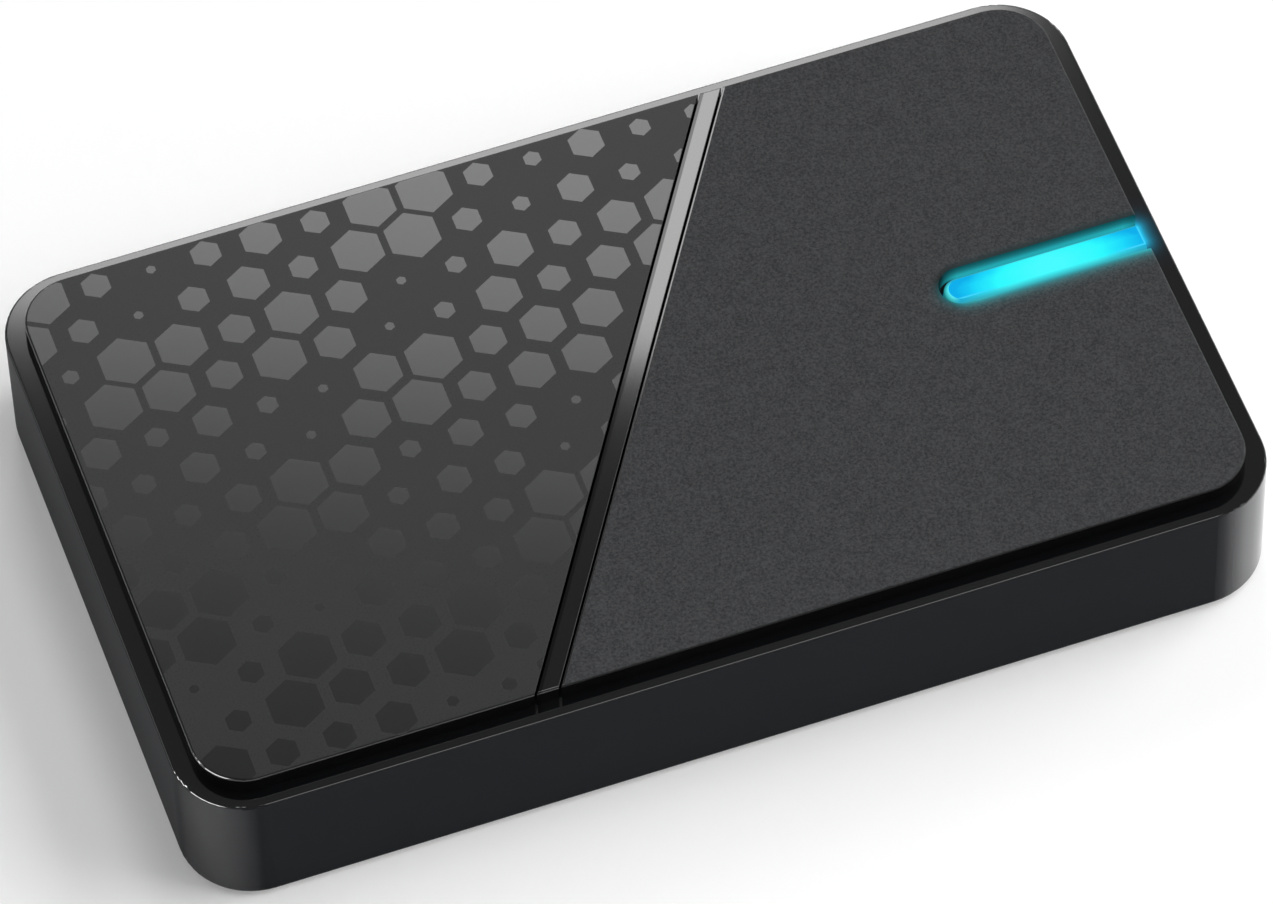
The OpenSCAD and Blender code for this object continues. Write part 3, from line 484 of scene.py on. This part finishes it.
def board_finish():
    """Solder mask with copper tracks showing through as lighter bands."""
    finish = Finish("board", Specular_IOR_Level=0.5)
    place = finish.place()
    lane = finish.math("FRACT", finish.math("DIVIDE", place["Y"], 0.8))
    track = finish.math("LESS_THAN", finish.math("ABSOLUTE", finish.math("SUBTRACT", lane, 0.5)), 0.22)
    patch = finish.math("GREATER_THAN", finish.noise(9.0, 1.0, (0.3, 1, 1)), 0.52)
    copper = finish.math("MULTIPLY", track, patch)
    finish.set("Base Color", finish.blend(copper, (0.008, 0.05, 0.026), (0.018, 0.1, 0.045)))
    finish.set("Roughness", finish.between(finish.noise(0.4), 0.26, 0.38))
    finish.bump(copper, 0.03, 0.6)
    return finish.material


def chip_finish():
    """Moulded black epoxy with its fine filler grain."""
    finish = Finish("chip", Specular_IOR_Level=0.4)
    filler = finish.noise(0.12, 3.0)
    finish.set("Base Color", finish.blend(filler, (0.009, 0.009, 0.01), (0.02, 0.02, 0.021)))
    finish.set("Roughness", finish.between(filler, 0.45, 0.6))
    finish.bump(filler, 0.01, 0.5)
    return finish.material


def metal_finish(name, dark, light, smooth, rough, stretch):
    """Metal with fine drawn lines and slight staining."""
    finish = Finish(name, Metallic=1.0)
    lines = finish.noise(0.18, 3.0, stretch)
    stain = finish.noise(2.5)
    finish.set("Base Color", finish.blend(stain, dark, light))
    finish.set("Roughness", finish.between(lines, smooth, rough, 0.25, 0.75))
    finish.bump(lines, 0.004, 0.5)
    return finish.material


def plain_finish(name, dark, light, smooth, rough, size, depth, specular):
    """Moulded or fired piece with a grain of the given size in millimetres."""
    finish = Finish(name, Specular_IOR_Level=specular)
    grain = finish.noise(size, 3.0)
    finish.set("Base Color", finish.blend(grain, dark, light))
    finish.set("Roughness", finish.between(grain, smooth, rough, 0.25, 0.75))
    finish.bump(grain, depth, 0.5)
    return finish.material


def lamp_finish():
    """Lit lamp under the light guide: a bright die in a white frame."""
    finish = Finish("lamp", Specular_IOR_Level=0.5, Emission_Strength=1.0)
    cloud = finish.noise(0.5)
    finish.set("Base Color", finish.blend(cloud, (0.6, 0.62, 0.62), (0.75, 0.77, 0.77)))
    finish.set("Emission Color", finish.blend(cloud, (0.1, 0.7, 0.8), (0.2, 0.9, 1.0)))
    finish.set("Roughness", finish.between(cloud, 0.3, 0.45))
    return finish.material


def all_finishes():
    """A material for each of the record's slots."""
    made = [
        case_finish(), cover_finish(), smooth_panel_finish(), grain_panel_finish(), strip_finish(),
        light_bar_finish(), tape_finish(), board_finish(), chip_finish(), lamp_finish(),
        metal_finish("plated_steel", dark=(0.5, 0.5, 0.49), light=(0.66, 0.66, 0.65),
                     smooth=0.2, rough=0.34, stretch=(1, 0.15, 1)),
        metal_finish("gold_contact", dark=(0.72, 0.5, 0.2), light=(0.86, 0.62, 0.28),
                     smooth=0.18, rough=0.3, stretch=(1, 0.2, 1)),
        metal_finish("aluminium", dark=(0.42, 0.43, 0.44), light=(0.55, 0.56, 0.57),
                     smooth=0.32, rough=0.46, stretch=(1, 0.1, 1)),
        plain_finish("socket_plastic", dark=(0.008, 0.008, 0.0085), light=(0.014, 0.014, 0.0145),
                     smooth=0.4, rough=0.52, size=0.2, depth=0.01, specular=0.4),
        plain_finish("thermal_pad", dark=(0.3, 0.36, 0.42), light=(0.38, 0.44, 0.5),
                     smooth=0.75, rough=0.9, size=0.4, depth=0.03, specular=0.2),
        plain_finish("ceramic", dark=(0.3, 0.2, 0.11), light=(0.4, 0.28, 0.16),
                     smooth=0.4, rough=0.55, size=0.1, depth=0.005, specular=0.4),
        plain_finish("ferrite", dark=(0.03, 0.03, 0.031), light=(0.055, 0.055, 0.056),
                     smooth=0.5, rough=0.65, size=0.15, depth=0.02, specular=0.4),
        plain_finish("rubber", dark=(0.008, 0.008, 0.008), light=(0.016, 0.016, 0.016),
                     smooth=0.75, rough=0.92, size=0.35, depth=0.03, specular=0.25),
    ]
    return {material.name.removesuffix("_finish"): material for material in made}


def dress_nodes(finishes):
    """Gives every node of the part the finish of its slot."""
    for part in frame["record"]["subparts"]:
        mesh = frame["nodes"][part["node"]].data
        mesh.materials.clear()
        mesh.materials.append(finishes[part["material_slot"]])


# Studio: lengths in metres, angles in degrees, azimuth from the part's back towards its right
FLOOR_HALF = 6.0
STUDIO_WHITE = 0.8
FLOOR_LIFT = 0.22
BACKDROP_LIFT = 0.7
BACKDROP_RADIUS = 3.0
BACKDROP_HEIGHT = 1.6
BACKDROP_SIDES = 96
WORLD_LEVEL = 0.2


def studio_finish(name, lift):
    """Pale matt surface. The lift shows to the camera, in gloss and through glass, and lights nothing."""
    material = bpy.data.materials.new(name)
    material.use_nodes = True
    tree = material.node_tree
    tree.nodes.clear()
    path = tree.nodes.new("ShaderNodeLightPath")
    seen = path.outputs["Is Camera Ray"]
    for other in ("Is Glossy Ray", "Is Transmission Ray"):
        either = tree.nodes.new("ShaderNodeMath")
        either.operation = "MAXIMUM"
        tree.links.new(seen, either.inputs[0])
        tree.links.new(path.outputs[other], either.inputs[1])
        seen = either.outputs[0]
    scaled = tree.nodes.new("ShaderNodeMath")
    scaled.operation = "MULTIPLY"
    scaled.inputs[1].default_value = lift
    tree.links.new(seen, scaled.inputs[0])
    glow = tree.nodes.new("ShaderNodeEmission")
    tree.links.new(scaled.outputs[0], glow.inputs["Strength"])
    matt = tree.nodes.new("ShaderNodeBsdfDiffuse")
    matt.inputs["Color"].default_value = (STUDIO_WHITE, STUDIO_WHITE, STUDIO_WHITE, 1.0)
    both = tree.nodes.new("ShaderNodeAddShader")
    tree.links.new(matt.outputs[0], both.inputs[0])
    tree.links.new(glow.outputs[0], both.inputs[1])
    out = tree.nodes.new("ShaderNodeOutputMaterial")
    tree.links.new(both.outputs[0], out.inputs["Surface"])
    return material


def stage_mesh(name, corners, faces, material):
    mesh = bpy.data.meshes.new(name)
    mesh.from_pydata(corners, [], faces)
    mesh.materials.append(material)
    obj = bpy.data.objects.new(name, mesh)
    bpy.context.scene.collection.objects.link(obj)
    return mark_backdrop(obj)


def make_floor():
    half = FLOOR_HALF
    corners = [(-half, -half, 0), (half, -half, 0), (half, half, 0), (-half, half, 0)]
    stage_mesh("floor", corners, [(0, 1, 2, 3)], studio_finish("floor", FLOOR_LIFT))


def make_backdrop():
    """A low pale wall all round, behind the object in every view."""
    turns = [2 * math.pi * k / BACKDROP_SIDES for k in range(BACKDROP_SIDES)]
    ring = [(BACKDROP_RADIUS * math.cos(t), BACKDROP_RADIUS * math.sin(t)) for t in turns]
    corners = [(x, y, z) for z in (0, BACKDROP_HEIGHT) for x, y in ring]
    count = BACKDROP_SIDES
    faces = [(k, (k + 1) % count, (k + 1) % count + count, k + count) for k in range(count)]
    stage_mesh("backdrop", corners, faces, studio_finish("backdrop", BACKDROP_LIFT))


def toward(azimuth, elevation):
    """Unit direction at an azimuth from +Y towards +X and an elevation, in degrees."""
    a, e = math.radians(azimuth), math.radians(elevation)
    return Vector((math.sin(a) * math.cos(e), math.cos(a) * math.cos(e), math.sin(e)))


def make_card(name, azimuth, elevation, distance, width, height, radiance, aside=0.0):
    """A flat soft light that faces the object from a direction, moved aside towards its right."""
    facing = toward(azimuth, elevation)
    light = bpy.data.lights.new(name, "AREA")
    light.shape = "RECTANGLE"
    light.size, light.size_y = width, height
    light.energy = radiance * math.pi * width * height
    obj = bpy.data.objects.new(name, light)
    obj.location = facing * distance + toward(azimuth + 90, 0) * aside
    obj.rotation_mode = "QUATERNION"
    obj.rotation_quaternion = (-facing).to_track_quat("-Z", "Y")
    obj.visible_camera = False
    bpy.context.scene.collection.objects.link(obj)
    return obj


def make_light():
    """Faint light all round and four cards: the key never shows in gloss, the rim card only there."""
    world = bpy.data.worlds.new("studio")
    world.use_nodes = True
    level = (WORLD_LEVEL, WORLD_LEVEL, WORLD_LEVEL, 1.0)
    world.node_tree.nodes["Background"].inputs["Color"].default_value = level
    bpy.context.scene.world = world
    make_card("back_card", azimuth=26.0, elevation=44.95, distance=5.0,
              width=1.076, height=1.575, radiance=6.0, aside=-0.735)
    make_card("top_card", azimuth=90.0, elevation=80.0, distance=1.2,
              width=0.5, height=0.4, radiance=3.0)
    key_card = make_card("key_card", azimuth=97.0, elevation=36.0, distance=1.6,
                         width=1.8, height=1.3, radiance=4.5)
    key_card.visible_glossy = False
    rim_card = make_card("rim_card", azimuth=250.0, elevation=25.0, distance=1.4,
                         width=1.0, height=1.0, radiance=16.0)
    rim_card.visible_diffuse = False


def make_camera():
    """The camera at the photograph's viewing angle, with its slight roll."""
    a, e, r = (math.radians(v) for v in (VIEW_AZIMUTH, VIEW_ELEVATION, VIEW_ROLL))
    back = Vector((math.sin(a) * math.cos(e), -math.cos(a) * math.cos(e), math.sin(e)))
    level = (-back).cross(Vector((0, 0, 1))).normalized()
    lift = level.cross(-back)
    right = math.cos(r) * level + math.sin(r) * lift
    up = -math.sin(r) * level + math.cos(r) * lift
    data = bpy.data.cameras.new("camera")
    data.lens = VIEW_LENS
    data.sensor_width = SENSOR_WIDTH
    data.sensor_fit = "HORIZONTAL"
    data.clip_start, data.clip_end = 0.01, 50.0
    camera = bpy.data.objects.new("camera", data)
    spot = (VIEW_DISTANCE * back + VIEW_RIGHT * right + VIEW_UP * up) * MM
    camera.matrix_world = Matrix.Translation(spot) @ Matrix((right, up, back)).transposed().to_4x4()
    bpy.context.scene.collection.objects.link(camera)
    bpy.context.scene.camera = camera


make_camera()
dress_nodes(all_finishes())
make_floor()
make_backdrop()
make_light()
bpy.context.scene.view_settings.view_transform = "Standard"
